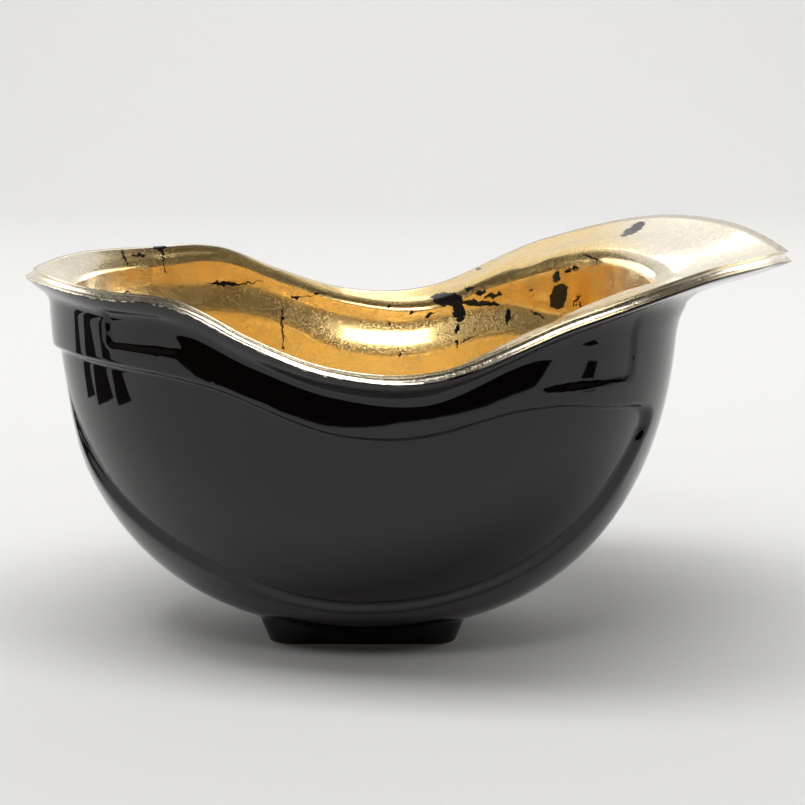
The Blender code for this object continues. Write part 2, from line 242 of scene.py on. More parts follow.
def sink_at_reach(turn, distance):
    part = np.clip(distance / wall_reach(turn), 0.0, 1.0)
    return np.degrees(np.arccos(part ** (DOME_POWER / 2.0))) / 90.0


def root_sink(turn, drops):
    """Where the flange starts on the dome."""
    return sink_at_height(rim_height(turn) - HEIGHT * along(drops, turn))


def rim_edge(turn, side):
    """(distance, height) where the lip's rounding starts: side 1 is the outer one and -1 the inner."""
    tilt = np.radians(along(FLANGE_TILT, turn))
    out = rim_reach(turn) + side * LIP_THICK / 2 * np.sin(tilt)
    return out, rim_height(turn) - side * LIP_THICK / 2 * np.cos(tilt)


def flange(turn, t, root, drops, end, tilts, bends):
    """(distance, height) on the flange: a curve from its root in the wall to the edge of the lip."""
    root_out, root_height = root
    end_out, end_height = end
    way_out, way_up = dome_way(turn, root_sink(turn, drops))
    tilt = np.radians(along(tilts, turn))
    span = np.hypot(end_out - root_out, end_height - root_height)
    first_out = root_out + bends[0] * span * way_out
    first_height = root_height + bends[0] * span * way_up
    second_out = end_out - bends[1] * span * np.cos(tilt)
    second_height = end_height - bends[1] * span * np.sin(tilt)
    a, b, c, d = (1 - t) ** 3, 3 * t * (1 - t) ** 2, 3 * t * t * (1 - t), t**3
    out = a * root_out + b * first_out + c * second_out + d * end_out
    return out, a * root_height + b * first_height + c * second_height + d * end_height


def points_of(turn, run, low, high):
    """Points in space from the profile below the flange's root and the one above it."""
    out = np.where(run > 1.0, high[0], low[0])
    height = np.where(run > 1.0, high[1], low[1])
    angle = np.radians(turn)
    return np.stack([out * np.cos(angle), out * np.sin(angle), height], -1)


def shell(turn, run):
    """Points of the outer side without its relief: run 0 is the crown, 1 the flange's root, 2 the lip."""
    sink = root_sink(turn, FLANGE_DROP)
    low = dome(turn, 1.0 - np.clip(run, 0.0, 1.0) * (1.0 - sink))
    high = flange(
        turn, np.clip(run - 1.0, 0.0, 1.0), dome(turn, sink), FLANGE_DROP,
        rim_edge(turn, 1.0), FLANGE_TILT, FLANGE_BENDS,
    )
    return points_of(turn, run, low, high)


def lining(turn, run):
    """Points of the inner side without its relief, by the same runs."""
    sink = root_sink(turn, INNER_DROP)
    low = dome_inside(turn, 1.0 - np.clip(run, 0.0, 1.0) * (1.0 - sink))
    high = flange(
        turn, np.clip(run - 1.0, 0.0, 1.0), dome_inside(turn, sink), INNER_DROP,
        rim_edge(turn, -1.0), INNER_TILT, INNER_BENDS,
    )
    return points_of(turn, run, low, high)


def outward(surface, turn, run):
    """The direction out of the shell, or out of its lining."""
    run_low = np.clip(run - NEAR_RUN, NEAR_RUN, 2.0)
    run_high = np.clip(run + NEAR_RUN, 3 * NEAR_RUN, 2.0)
    across = surface(turn + NEAR_TURN, run) - surface(turn - NEAR_TURN, run)
    normal = np.cross(across, surface(turn, run_high) - surface(turn, run_low))
    return normal / np.linalg.norm(normal, axis=-1, keepdims=True)


def crown_half(x):
    """Half the crown band's width: it narrows toward the front and more toward the nape."""
    ahead = np.maximum((x - CROWN_FRONT) / CROWN_FRONT_LENGTH, 0.0)
    behind = np.maximum((CROWN_BACK - x) / CROWN_BACK_LENGTH, 0.0)
    front = np.maximum(1.0 - ahead**CROWN_FRONT_POWER, CROWN_TIP) ** (1.0 / CROWN_FRONT_POWER)
    back = np.maximum(1.0 - behind**CROWN_BACK_POWER, CROWN_TIP) ** (1.0 / CROWN_BACK_POWER)
    return CROWN_WIDTH / 2 * front * back


def crown_gap(x, y):
    """Distance in plan from the crown band's edge: above 0 is outside the band."""
    narrowing = (crown_half(x + NEAR_PLAN) - crown_half(x - NEAR_PLAN)) / (2 * NEAR_PLAN)
    return (np.abs(y) - crown_half(x)) / np.hypot(1.0, narrowing)


def rim_gap(turn, height):
    """Distance below the rim band's lower edge, square to that edge."""
    edge = HEIGHT * along(RIM_BAND_EDGE, turn)
    before, after = along(RIM_BAND_EDGE, turn - NEAR_TURN), along(RIM_BAND_EDGE, turn + NEAR_TURN)
    climb = HEIGHT * (after - before) / (np.radians(2 * NEAR_TURN) * wall_reach(turn))
    return (edge - height) / np.hypot(1.0, climb)


def panel_depth(point, turn, height, step):
    """1 in the side panels and round the nape, 0 on the bands."""
    below_rim = rim_gap(turn, height)
    beside_crown = crown_gap(point[..., 0], point[..., 1])
    gap = round_min(below_rim, beside_crown, PANEL_CORNER)
    fade = (height - CROWN_FADE_BOTTOM) / (CROWN_FADE_TOP - CROWN_FADE_BOTTOM)
    tail = smooth(fade) * smooth(-point[..., 0] / NAPE_FADE) * smooth(below_rim / step + 0.5)
    return np.maximum(smooth(gap / step + 0.5), tail)


def slot_depth(turn, height, past, floor, ledge, span, step):
    """1 in one recess: past is the turn from its upright end, and it fades out toward the ear."""
    beside = np.radians(past) * wall_reach(turn)
    gap = round_min(round_max(beside, height - ledge, SLOT_CORNER), height - floor, SLOT_CORNER)
    return smooth(gap / step + 0.5) * smooth((span - past) / SLOT_FADE + 0.5)


def depth(point, turn, run, relief, step, rise):
    """How far the surface lies under the level of the bands. It dies out on the flange."""
    height = point[..., 2] - rise
    side = np.abs((turn + 180.0) % 360.0 - 180.0)
    slot_step = step * SLOT_STEP / STEP
    front = slot_depth(
        turn, height, side - FRONT_SLOT_TURN, FRONT_SLOT_FLOOR, FRONT_SLOT_LEDGE,
        FRONT_SLOT_SPAN, slot_step,
    )
    rear = slot_depth(
        turn, height, REAR_SLOT_TURN - side, REAR_SLOT_FLOOR, REAR_SLOT_LEDGE,
        REAR_SLOT_SPAN, slot_step,
    )
    slots = np.maximum(front, rear) * SLOT_DEPTH / RELIEF
    level = np.maximum(panel_depth(point, turn, height, step), slots)
    return relief * level * smooth((RELIEF_END - run) / RELIEF_FADE)


def outer(turn, run):
    point = shell(turn, run)
    sunk = depth(point, turn, run, RELIEF, STEP, 0.0)
    return point - outward(shell, turn, run) * sunk[..., None]


def inner(turn, run):
    point = lining(turn, run)
    sunk = depth(point, turn, run, INNER_RELIEF, INNER_STEP, INNER_RISE)
    return point - outward(lining, turn, run) * sunk[..., None]


def lip(turn, t):
    """The rounded lip between the outer and the inner side: t 0 is the outer one."""
    start, end = outer(turn, np.full_like(turn, 2.0)), inner(turn, np.full_like(turn, 2.0))
    middle, half = (start + end) / 2, (start - end) / 2
    radius = np.linalg.norm(half, axis=-1, keepdims=True)
    around = np.stack([-np.sin(np.radians(turn)), np.cos(np.radians(turn)), np.zeros_like(turn)], -1)
    away = np.cross(half, around)
    away *= radius / np.linalg.norm(away, axis=-1, keepdims=True)
    return middle + half * np.cos(np.pi * t) - away * np.sin(np.pi * t)


def foot_reach(turn, grow):
    """Distance from the axis to the foot's rounded oblong, made larger by grow all round."""
    cos, sin = np.abs(np.cos(np.radians(turn))), np.abs(np.sin(np.radians(turn)))
    half_x, half_y = FOOT_LENGTH / 2 + grow, FOOT_WIDTH / 2 + grow
    corner = FOOT_CORNER + grow
    straight = np.minimum(half_x / np.maximum(cos, 1e-9), half_y / np.maximum(sin, 1e-9))
    centre_x, centre_y = half_x - corner, half_y - corner
    toward = centre_x * cos + centre_y * sin
    rest = corner**2 - (centre_x * sin - centre_y * cos) ** 2
    curved = toward + np.sqrt(np.maximum(rest, 0.0))
    in_corner = (straight * cos > centre_x) & (straight * sin > centre_y)
    return np.where(in_corner, np.minimum(curved, straight), straight)


def foot_ring(turn, grow, height):
    """Points of the foot's outline at one height."""
    out, angle = foot_reach(turn, grow), np.radians(turn)
    return np.stack([out * np.cos(angle), out * np.sin(angle), np.full_like(turn, height)], -1)


def foot_top(turn):
    """(run, point) where the foot's flared side meets the dome."""
    run = np.zeros_like(turn)
    grow = np.zeros_like(turn)
    for _ in range(FOOT_TOP_ROUNDS):
        sink = sink_at_reach(turn, foot_reach(turn, grow))
        run = (1.0 - sink) / (1.0 - root_sink(turn, FLANGE_DROP))
        grow = FOOT_FLARE * outer(turn, run)[..., 2]
    return run, outer(turn, run)


def band_runs(turn):
    """The runs at which this column crosses the crown band's edge and the rim band's."""
    tries = np.linspace(0.0, 1.0, RUN_TRIES)
    points = shell(np.full_like(tries, turn), tries)
    off_crown = crown_gap(points[:, 0], points[:, 1]) > 0
    rim = tries[np.argmax(rim_gap(np.full_like(tries, turn), points[:, 2]) < 0)]
    crown = tries[np.argmax(off_crown)] if off_crown.any() else 1.0
    return min(crown, rim - BAND_ROOM), rim


def spread(start, crown, rim):
    """Rows of the outer side from the foot to the flange's root, closer on the two steps."""
    edges = [start, crown - NEAR_STEP, crown + NEAR_STEP, rim - NEAR_STEP, rim + NEAR_STEP, 1.0]
    counts = np.maximum(np.round(np.array(DOME_ROW_SHARES) * DOME_ROWS), 1).astype(int)
    counts[2] += DOME_ROWS - counts.sum()
    edges = np.maximum.accumulate(np.array(edges) + np.arange(len(edges)) * LEAST_ROW)
    pieces = [np.linspace(a, b, n, endpoint=False) for a, b, n in zip(edges, edges[1:], counts)]
    return np.concatenate(pieces)


# %% [markdown]
# ## A finer skin
# Glossy glaze shows every facet, so the skin is a sheet of nearly 200,000 triangles, wrapped round
# like the slip in its mould: from the middle of the underside, out and up over the lip, and back
# down inside. A grid is added, each of its rows is laid on one ring of the bowl, and the seam and
# the two poles are then merged.

# %% Lay a grid on the rings


def all_at(turns, run):
    return np.full_like(turns, run)


def foot_rings(turns, top):
    """The underside, its small rounded edge, and the flared side up to the dome."""
    made = [np.zeros((len(turns), 3)), foot_ring(turns, -FOOT_CORNER / 2, 0.0)]
    for swing in np.radians(np.linspace(0.0, 90.0, 4)):
        grow = FOOT_EDGE * (math.sin(swing) - 1.0)
        made.append(foot_ring(turns, grow, FOOT_EDGE * (1.0 - math.cos(swing))))
    low = made[-1]
    return made + [low + (top - low) * t for t in np.linspace(0.0, 1.0, FOOT_ROWS + 1)[1:-1]]


def rings(turns):
    """Every ring of the skin, and the number of the ring at the outer edge of the lip."""
    run_start, top = foot_top(turns)
    crossings = [band_runs(turn) for turn in turns]
    runs = np.stack([spread(start, *crossing) for start, crossing in zip(run_start, crossings)])
    flange_steps = np.linspace(0.0, 1.0, FLANGE_ROWS)
    made = foot_rings(turns, top)
    made += [outer(turns, run) for run in runs.T]
    made += [outer(turns, all_at(turns, 1.0 + t)) for t in flange_steps]
    lip_edge = len(made) - 1
    made += [lip(turns, t) for t in np.linspace(0.0, 1.0, LIP_ROWS + 1)[1:-1]]
    made += [inner(turns, all_at(turns, 1.0 + t)) for t in flange_steps[::-1]]
    made += [inner(turns, all_at(turns, t)) for t in np.linspace(1.0, 0.0, INNER_ROWS + 1)[1:-1]]
    made.append(np.tile([0.0, 0.0, CROWN_HEIGHT + WALL_THICK], (len(turns), 1)))
    return np.stack(made), lip_edge


def distance_along(made, ring):
    """Metres along each column from one ring, above 0 toward the inside."""
    steps = np.linalg.norm(np.diff(made, axis=0), axis=-1)
    length = np.concatenate([np.zeros((1, made.shape[1])), np.cumsum(steps, axis=0)])
    return length - length[ring]


def bowl_skin():
    made, lip_edge = rings(np.linspace(0.0, 360.0, COLUMNS + 1))
    made[:, -1] = made[:, 0]
    print("rings", len(made), "triangles about", 2 * COLUMNS * len(made))
    bpy.ops.mesh.primitive_grid_add(x_subdivisions=COLUMNS, y_subdivisions=len(made) - 1, size=1.0)
    sheet = bpy.context.active_object
    sheet.name = "bowl_skin"
    sheet.data.vertices.foreach_set("co", made.astype(np.float32).ravel())
    past_edge = sheet.data.attributes.new("leaf_distance", "FLOAT", "POINT")
    past_edge.data.foreach_set("value", distance_along(made, lip_edge).astype(np.float32).ravel())
    sheet.data.update()
    bpy.ops.object.mode_set(mode="EDIT")
    bpy.ops.mesh.select_all(action="SELECT")
    bpy.ops.mesh.remove_doubles(threshold=SAME_PLACE)
    bpy.ops.mesh.normals_make_consistent(inside=False)
    bpy.ops.object.mode_set(mode="OBJECT")
    bpy.ops.object.shade_smooth()
    return sheet


skin = bowl_skin()
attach(skin, "root")
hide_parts("bowl")
print("skin", len(skin.data.vertices), "vertices", len(skin.data.polygons), "faces")

# %% [markdown]
# ## Node helpers
# Materials are node trees. These short functions make one node each, so that a material reads
# like a sum: a socket can be given a number or the output of another node.

# %% Helpers for node trees


def material(name):
    made = bpy.data.materials.new(name)
    made.use_nodes = True
    return made, made.node_tree


def group(name, inputs, outputs):
    """A shader node group with named sockets, given as {name: kind}."""
    tree = bpy.data.node_groups.new(name, "ShaderNodeTree")
    for key, kind in inputs.items():
        tree.interface.new_socket(key, in_out="INPUT", socket_type="NodeSocket" + kind)
    for key, kind in outputs.items():
        tree.interface.new_socket(key, in_out="OUTPUT", socket_type="NodeSocket" + kind)
    return tree, tree.nodes.new("NodeGroupInput").outputs, tree.nodes.new("NodeGroupOutput").inputs


def put(tree, target, value):
    """Sets a socket to a number, or links it to another socket."""
    if isinstance(value, bpy.types.NodeSocket):
        tree.links.new(value, target)
    else:
        target.default_value = value


def node(tree, kind, inputs=None, **settings):
    made = tree.nodes.new("ShaderNode" + kind)
    for key, value in settings.items():
        setattr(made, key, value)
    for key, value in (inputs or {}).items():
        put(tree, made.inputs[key], value)
    return made


def use(tree, used_group, **inputs):
    made = node(tree, "Group")
    made.node_tree = used_group
    for key, value in inputs.items():
        put(tree, made.inputs[key], value)
    return made.outputs[0]


def calc(tree, operation, a, b=0.0):
    return node(tree, "Math", {0: a, 1: b}, operation=operation).outputs[0]


def vector_calc(tree, operation, a, b, out="Vector"):
    return node(tree, "VectorMath", {0: a, 1: b}, operation=operation).outputs[out]


def ramp(tree, value, low, high, to_low=0.0, to_high=1.0):
    """A smooth step from to_low at low to to_high at high."""
    inputs = {"Value": value, "From Min": low, "From Max": high, "To Min": to_low, "To Max": to_high}
    return node(tree, "MapRange", inputs, interpolation_type="SMOOTHSTEP").outputs["Result"]


def blend_colour(tree, factor, a, b):
    return node(tree, "Mix", {0: factor, 6: a, 7: b}, data_type="RGBA").outputs[2]


def noise(tree, place, size, detail=2.0, roughness=0.5):
    """Noise whose main lumps are about size metres across."""
    inputs = {"Vector": place, "Scale": 1.0 / size, "Detail": detail, "Roughness": roughness}
    return node(tree, "TexNoise", inputs).outputs["Fac"]


def bumped(tree, height):
    return node(tree, "Bump", {"Height": height, "Distance": 1.0, "Strength": 1.0}).outputs["Normal"]


# %% [markdown]
# ## Ripple, scratches and flakes
# The cast wall isn't dead flat: it ripples a little, which bends the reflections. The leaf is
# burnished in many directions, and each fine scratch spreads a highlight across itself. Where
# the leaf has come away, the black glaze shows. Each of these is a node group.

# %% Ripple of cast ware
RIPPLE_SIZE = 0.045
RIPPLE_HEIGHT = 0.0005
GRAIN_SIZE = 0.009
GRAIN_HEIGHT = 0.00002


def ripple_group():
    """Height in metres of the cast wall's ripple."""
    tree, given, result = group("cast ripple", {"Place": "Vector"}, {"Height": "Float"})
    broad = noise(tree, given["Place"], RIPPLE_SIZE, detail=1.0)
    fine = noise(tree, given["Place"], GRAIN_SIZE)
    ripple = calc(tree, "MULTIPLY", broad, RIPPLE_HEIGHT)
    grain = calc(tree, "MULTIPLY", fine, GRAIN_HEIGHT)
    put(tree, result["Height"], calc(tree, "ADD", ripple, grain))
    return tree


CAST_RIPPLE = ripple_group()

# %% Scratches
SCRATCH_WIDTH = 0.0004
SCRATCH_LENGTH = 0.014
SCRATCH_RARE = (0.56, 0.66)


def scratch_group():
    """1 on fine lines along one direction, which is given as a turn of the place."""
    tree, given, result = group("scratches", {"Place": "Vector", "Turn": "Vector"}, {"Height": "Float"})
    shape = (1.0 / SCRATCH_LENGTH, 1.0 / SCRATCH_WIDTH, 1.0 / SCRATCH_WIDTH)
    turned = node(tree, "Mapping", {"Vector": given["Place"], "Rotation": given["Turn"]}).outputs[0]
    stretched = vector_calc(tree, "MULTIPLY", turned, shape)
    put(tree, result["Height"], ramp(tree, noise(tree, stretched, 1.0, detail=1.0), *SCRATCH_RARE))
    return tree


SCRATCHES = scratch_group()

# %% Flakes, in millimetres across and up as seen from the front: middle, half sizes, lean in degrees
FRONT_LIFT = math.radians(11.0)
FLAKES = (
    # The great flake at the far ear, its neck, its tail and the bits beside it.
    (32.5, 125.8, 6.8, 2.9, -8.0),
    (37.0, 120.6, 2.6, 4.0, 10.0),
    (46.0, 123.8, 7.6, 1.3, -4.0),
    (41.4, 129.9, 1.9, 0.8, 10.0),
    (45.8, 128.2, 2.4, 0.9, 25.0),
    (50.6, 126.8, 3.4, 0.9, 8.0),
    (24.6, 119.5, 2.0, 0.8, 25.0),
    (17.4, 119.9, 1.4, 0.6, 30.0),
    (36.3, 113.6, 0.9, 1.6, -15.0),
    # The flake right of it, and its crumbs.
    (76.0, 125.6, 3.2, 5.4, -12.0),
    (75.2, 133.6, 1.4, 2.2, 0.0),
    (79.8, 136.2, 1.4, 1.0, 20.0),
    (82.4, 136.6, 1.2, 0.8, 0.0),
    (56.4, 118.3, 0.9, 3.2, -4.0),
    (68.0, 118.9, 3.2, 0.4, -35.0),
    (65.1, 128.8, 0.8, 0.6, 0.0),
    (82.6, 123.9, 0.45, 3.0, -20.0),
    (84.8, 121.5, 0.4, 2.4, 35.0),
    (89.1, 140.0, 4.6, 0.4, -28.0),
    # Specks and cracks low on the far wall.
    (13.3, 102.8, 0.6, 1.3, 0.0),
    (35.9, 107.6, 0.6, 1.6, 0.0),
    (39.5, 109.0, 3.2, 0.3, 25.0),
    (8.8, 115.8, 0.35, 1.6, 0.0),
    (8.4, 123.2, 0.8, 0.5, 0.0),
    (45.3, 139.0, 1.0, 0.6, 0.0),
    (-10.0, 131.4, 1.3, 0.6, 0.0),
    # The nape: a triangle at the rim, its crack, dashes and lines.
    (-81.4, 145.4, 2.2, 2.0, 45.0),
    (-79.6, 139.4, 0.35, 5.4, 12.0),
    (-94.0, 140.4, 0.6, 3.2, 28.0),
    (-88.6, 141.3, 3.0, 0.5, -4.0),
    (-56.8, 131.2, 6.6, 0.7, -3.0),
    (-46.8, 131.9, 5.4, 0.3, 10.0),
    (-29.1, 126.2, 1.9, 0.7, 5.0),
    (-22.0, 127.4, 7.0, 0.3, 14.0),
    (-34.1, 113.8, 0.4, 10.4, 2.0),
    (-92.0, 126.2, 1.1, 0.6, 10.0),
    # The one on the peak.
    (105.8, 152.8, 6.2, 1.7, 34.0),
)
MILLIMETRES = 1000.0
RAGGED_SIZE = 0.0022
RAGGED_REACH = 4.2
FLAKE_SHARP = 0.06
FAR_AWAY = 10.0
FAR_SIDE = (0.0, 0.01)


def flake_group():
    """1 where the leaf has come away inside the far wall and the peak, from a place in metres."""
    tree, given, result = group("missing leaf", {"Place": "Vector"}, {"Gone": "Float"})
    apart = node(tree, "SeparateXYZ", {0: given["Place"]}).outputs
    across = calc(tree, "MULTIPLY", apart["X"], MILLIMETRES)
    deep = calc(tree, "MULTIPLY", apart["Y"], MILLIMETRES * math.sin(FRONT_LIFT))
    high = calc(tree, "MULTIPLY", apart["Z"], MILLIMETRES * math.cos(FRONT_LIFT))
    seen = node(tree, "CombineXYZ", {"X": across, "Y": calc(tree, "ADD", deep, high)}).outputs[0]
    rough_edge = {"Vector": given["Place"], "Scale": 1.0 / RAGGED_SIZE, "Detail": 3.0, "Roughness": 0.6}
    lumps = node(tree, "TexNoise", rough_edge).outputs["Color"]
    wander = vector_calc(tree, "SUBTRACT", lumps, (0.5, 0.5, 0.5))
    reach = vector_calc(tree, "MULTIPLY", wander, (RAGGED_REACH, RAGGED_REACH, 0.0))
    seen = vector_calc(tree, "ADD", seen, reach)
    nearest = FAR_AWAY
    for x, up, half_across, half_up, lean in FLAKES:
        frame_of_flake = {
            "Vector": seen,
            "Location": (x, up, 0.0),
            "Rotation": (0.0, 0.0, math.radians(lean)),
            "Scale": (half_across, half_up, 1.0),
        }
        local = node(tree, "Mapping", frame_of_flake, vector_type="TEXTURE").outputs[0]
        away = node(tree, "VectorMath", {0: local}, operation="LENGTH").outputs["Value"]
        nearest = calc(tree, "MINIMUM", away, nearest)
    inside = ramp(tree, nearest, 1.0 + FLAKE_SHARP, 1.0 - FLAKE_SHARP)
    far_side = ramp(tree, apart["Y"], *FAR_SIDE)
    put(tree, result["Gone"], calc(tree, "MULTIPLY", inside, far_side))
    return tree


MISSING_LEAF = flake_group()

# %% [markdown]
# ## Black glaze, gold leaf and bare clay

# %% Black glaze
GLAZE_BLACK = (0.0045, 0.0028, 0.0024, 1.0)
GLAZE_ROUGHNESS = 0.04
GLAZE_IOR = 1.5


def black_glaze():
    glaze, tree = material("black_glaze")
    shader = tree.nodes["Principled BSDF"]
    place = node(tree, "TexCoord").outputs["Object"]
    put(tree, shader.inputs["Base Color"], GLAZE_BLACK)
    put(tree, shader.inputs["Roughness"], GLAZE_ROUGHNESS)
    put(tree, shader.inputs["IOR"], GLAZE_IOR)
    put(tree, shader.inputs["Normal"], bumped(tree, use(tree, CAST_RIPPLE, Place=place)))
    return glaze


# %% Gold leaf
LEAF_GOLD = (0.97, 0.70, 0.29, 1.0)
# Painted highlight: this paler gold is mixed in on the lip, the peak and the nape in place of the whitish
# look of bright reflections.
HIGHLIGHT_PALE_GOLD = (0.93, 0.85, 0.68, 1.0)
LEAF_ROUGHNESS = 0.10
HAZE_ROUGHNESS = 0.38
HAZE_LEAST = 0.04
HAZE_MOST = 0.30
HAZE_SIZE = 0.016
HAZE_PATCH = (0.38, 0.66)
WALL_LEAN = 0.06
SCRATCH_HEIGHT = 0.000014
SCRATCH_TURNS = ((0.0, 0.5, 0.2), (0.3, -0.7, 1.2), (1.2, 0.2, 2.4))
BARE_ROUGHNESS = 0.2
# Where the painted highlight is mixed in: metres past the lip's edge, and X at the peak and at the nape.
HIGHLIGHT_ON_LIP = (0.009, 0.0054)
HIGHLIGHT_ON_PEAK = (0.085, 0.115)
HIGHLIGHT_ON_NAPE = (-0.090, -0.108)
EDGE_LUMPS = 0.0022
EDGE_WANDER = 0.0032
GILDING_END = (-0.0006, -0.0009)


def leaf_colour_and_highlight(tree, place, past_edge):
    """The leaf's colour, with a painted highlight: paler gold on the lip, the peak and the nape, standing
    in for the whitish look of bright reflections there.
    """
    x = node(tree, "SeparateXYZ", {0: place}).outputs["X"]
    # Painted highlight: the leaf turns paler gold toward the lip, the peak and the nape.
    lip_highlight = ramp(tree, past_edge, *HIGHLIGHT_ON_LIP)
    ends_highlight = calc(tree, "ADD", ramp(tree, x, *HIGHLIGHT_ON_PEAK), ramp(tree, x, *HIGHLIGHT_ON_NAPE))
    pale = calc(tree, "MAXIMUM", lip_highlight, ends_highlight)
    return blend_colour(tree, pale, LEAF_GOLD, HIGHLIGHT_PALE_GOLD)


def leaf_height(tree, place):
    """Ripple, scratches in several directions, and a slight lean that the wall has."""
    height = use(tree, CAST_RIPPLE, Place=place)
    for turn in SCRATCH_TURNS:
        lines = use(tree, SCRATCHES, Place=place, Turn=turn)
        height = calc(tree, "ADD", height, calc(tree, "MULTIPLY", lines, SCRATCH_HEIGHT))
    up = node(tree, "SeparateXYZ", {0: place}).outputs["Z"]
    return calc(tree, "ADD", height, calc(tree, "MULTIPLY", up, WALL_LEAN))


def leaf_gone(tree, place, past_edge):
    """1 where the glaze shows: in the flakes, and below the ragged edge of the gilding."""
    lumps = calc(tree, "SUBTRACT", noise(tree, place, EDGE_LUMPS, detail=3.0), 0.5)
    wander = calc(tree, "MULTIPLY", lumps, EDGE_WANDER)
    below = ramp(tree, calc(tree, "ADD", past_edge, wander), *GILDING_END)
    return calc(tree, "MAXIMUM", below, use(tree, MISSING_LEAF, Place=place))


def gold_leaf():
    gold, tree = material("gold_leaf")
    shader = tree.nodes["Principled BSDF"]
    place = node(tree, "TexCoord").outputs["Object"]
    past_edge = node(tree, "Attribute", attribute_name="leaf_distance").outputs["Fac"]
    tone = leaf_colour_and_highlight(tree, place, past_edge)
    normal = bumped(tree, leaf_height(tree, place))
    put(tree, shader.inputs["Base Color"], tone)
    put(tree, shader.inputs["Metallic"], 1.0)
    put(tree, shader.inputs["Roughness"], LEAF_ROUGHNESS)
    put(tree, shader.inputs["Normal"], normal)
    haze_inputs = {"Base Color": tone, "Metallic": 1.0, "Roughness": HAZE_ROUGHNESS, "Normal": normal}
    haze = node(tree, "BsdfPrincipled", haze_inputs)
    patches = noise(tree, place, HAZE_SIZE, detail=4.0, roughness=0.65)
    dull = ramp(tree, patches, *HAZE_PATCH, HAZE_LEAST, HAZE_MOST)
    leaf = node(tree, "MixShader", {0: dull, 1: shader.outputs[0], 2: haze.outputs[0]})
    bare_inputs = {"Base Color": GLAZE_BLACK, "Roughness": BARE_ROUGHNESS, "IOR": GLAZE_IOR}
    bare = node(tree, "BsdfPrincipled", bare_inputs)
    gone = leaf_gone(tree, place, past_edge)
    worn = node(tree, "MixShader", {0: gone, 1: leaf.outputs[0], 2: bare.outputs[0]})
    put(tree, tree.nodes["Material Output"].inputs["Surface"], worn.outputs[0])
    return gold


# %% Bare clay
CLAY = (0.62, 0.50, 0.37, 1.0)
CLAY_ROUGHNESS = 0.8


def bare_clay():
    clay, tree = material("bare_clay")
    shader = tree.nodes["Principled BSDF"]
    put(tree, shader.inputs["Base Color"], CLAY)
    put(tree, shader.inputs["Roughness"], CLAY_ROUGHNESS)
    return clay


# %% Give the skin its finishes
GILDED_BELOW_LIP = 0.002


def lowest_and_highest(mesh, values):
    """For every face, the lowest and the highest of a value at its corners."""
    corner = np.empty(len(mesh.loops), np.int32)
    mesh.loops.foreach_get("vertex_index", corner)
    start = np.empty(len(mesh.polygons), np.int32)
    mesh.polygons.foreach_get("loop_start", start)
    return np.minimum.reduceat(values[corner], start), np.maximum.reduceat(values[corner], start)


def finish_faces(mesh):
    distance = np.empty(len(mesh.vertices), np.float32)
    mesh.attributes["leaf_distance"].data.foreach_get("value", distance)
    places = np.empty(3 * len(mesh.vertices), np.float32)
    mesh.vertices.foreach_get("co", places)
    gilded = lowest_and_highest(mesh, distance)[0] > -GILDED_BELOW_LIP
    under = lowest_and_highest(mesh, places[2::3])[1] < CLAY_TOP
    slots = np.where(under, 2, np.where(gilded, 1, 0))
    mesh.polygons.foreach_set("material_index", slots.astype(np.int32))
    mesh.update()


for finish in (black_glaze(), gold_leaf(), bare_clay()):
    skin.data.materials.append(finish)
finish_faces(skin.data)

# %% [markdown]
# ## A small studio
# The bowl stands on a pale board that ends just in front of it and sweeps up behind it. The room
# past the board is dark, which gives the black band under the rim, and so is the ceiling, which
# gives the brown in the gold. A lamp in front and a lamp behind show only in the gloss. Glowing
# cards, unseen by the camera, stand behind the bowl and to its sides. Three washes light the
# board and don't show in the gloss.

# %% Board, cards and lamps
BOWL_MIDDLE = (0.0, 0.0, 0.12)
BOARD_FRONT = -0.278
BOARD_BACK = 1.5
BOARD_HALF = 2.5
SWEEP_RADIUS = 0.7
SWEEP_TOP = 2.2
BOARD_COLOUR = (0.84, 0.835, 0.825, 1.0)
BOARD_ROUGHNESS = 0.9
WHITE = (1.0, 1.0, 1.0, 1.0)
BLACK = (0.0, 0.0, 0.0, 1.0)
STRIP_LIFT = 0.0005
ROOM_COLOUR = (1.0, 0.93, 0.86, 1.0)
ROOM_BELOW = 0.01
ROOM_ABOVE = 0.09
ROOM_CLIMB = (-0.02, 0.10)
BOARD_MIDDLE = (0.0, 0.0, 0.0)
BACKDROP_MIDDLE = (0.0, 2.4, 0.8)


def plain(name, colour, glow=0.0):
    """A matt finish. Where it glows, it glows white."""
    made, tree = material(name)
    shader = tree.nodes["Principled BSDF"]
    put(tree, shader.inputs["Base Color"], colour)
    put(tree, shader.inputs["Roughness"], BOARD_ROUGHNESS)
    put(tree, shader.inputs["Emission Color"], WHITE)
    put(tree, shader.inputs["Emission Strength"], glow)
    return made


def facing(thing, place, toward, front):
    """Puts a thing at a place and turns its front toward a point."""
    thing.location = place
    thing.rotation_euler = (Vector(toward) - Vector(place)).to_track_quat(front, "Y").to_euler()


def board():
    """A pale board that sweeps up behind the bowl."""
    swings = np.radians(np.linspace(0.0, 90.0, 17))
    profile = [(BOARD_FRONT, 0.0)]
    profile += [(BOARD_BACK + SWEEP_RADIUS * math.sin(s), SWEEP_RADIUS * (1 - math.cos(s))) for s in swings]
    profile.append((BOARD_BACK + SWEEP_RADIUS, SWEEP_TOP))
    vertices = [(side * BOARD_HALF, y, z) for y, z in profile for side in (-1.0, 1.0)]
    faces = [(2 * k, 2 * k + 1, 2 * k + 3, 2 * k + 2) for k in range(len(profile) - 1)]
    mesh = bpy.data.meshes.new("board")
    mesh.from_pydata(vertices, [], faces)
    mesh.polygons.foreach_set("use_smooth", [True] * len(faces))
    mesh.materials.append(plain("pale_board", BOARD_COLOUR))
    made = bpy.data.objects.new("board", mesh)
    bpy.context.collection.objects.link(made)


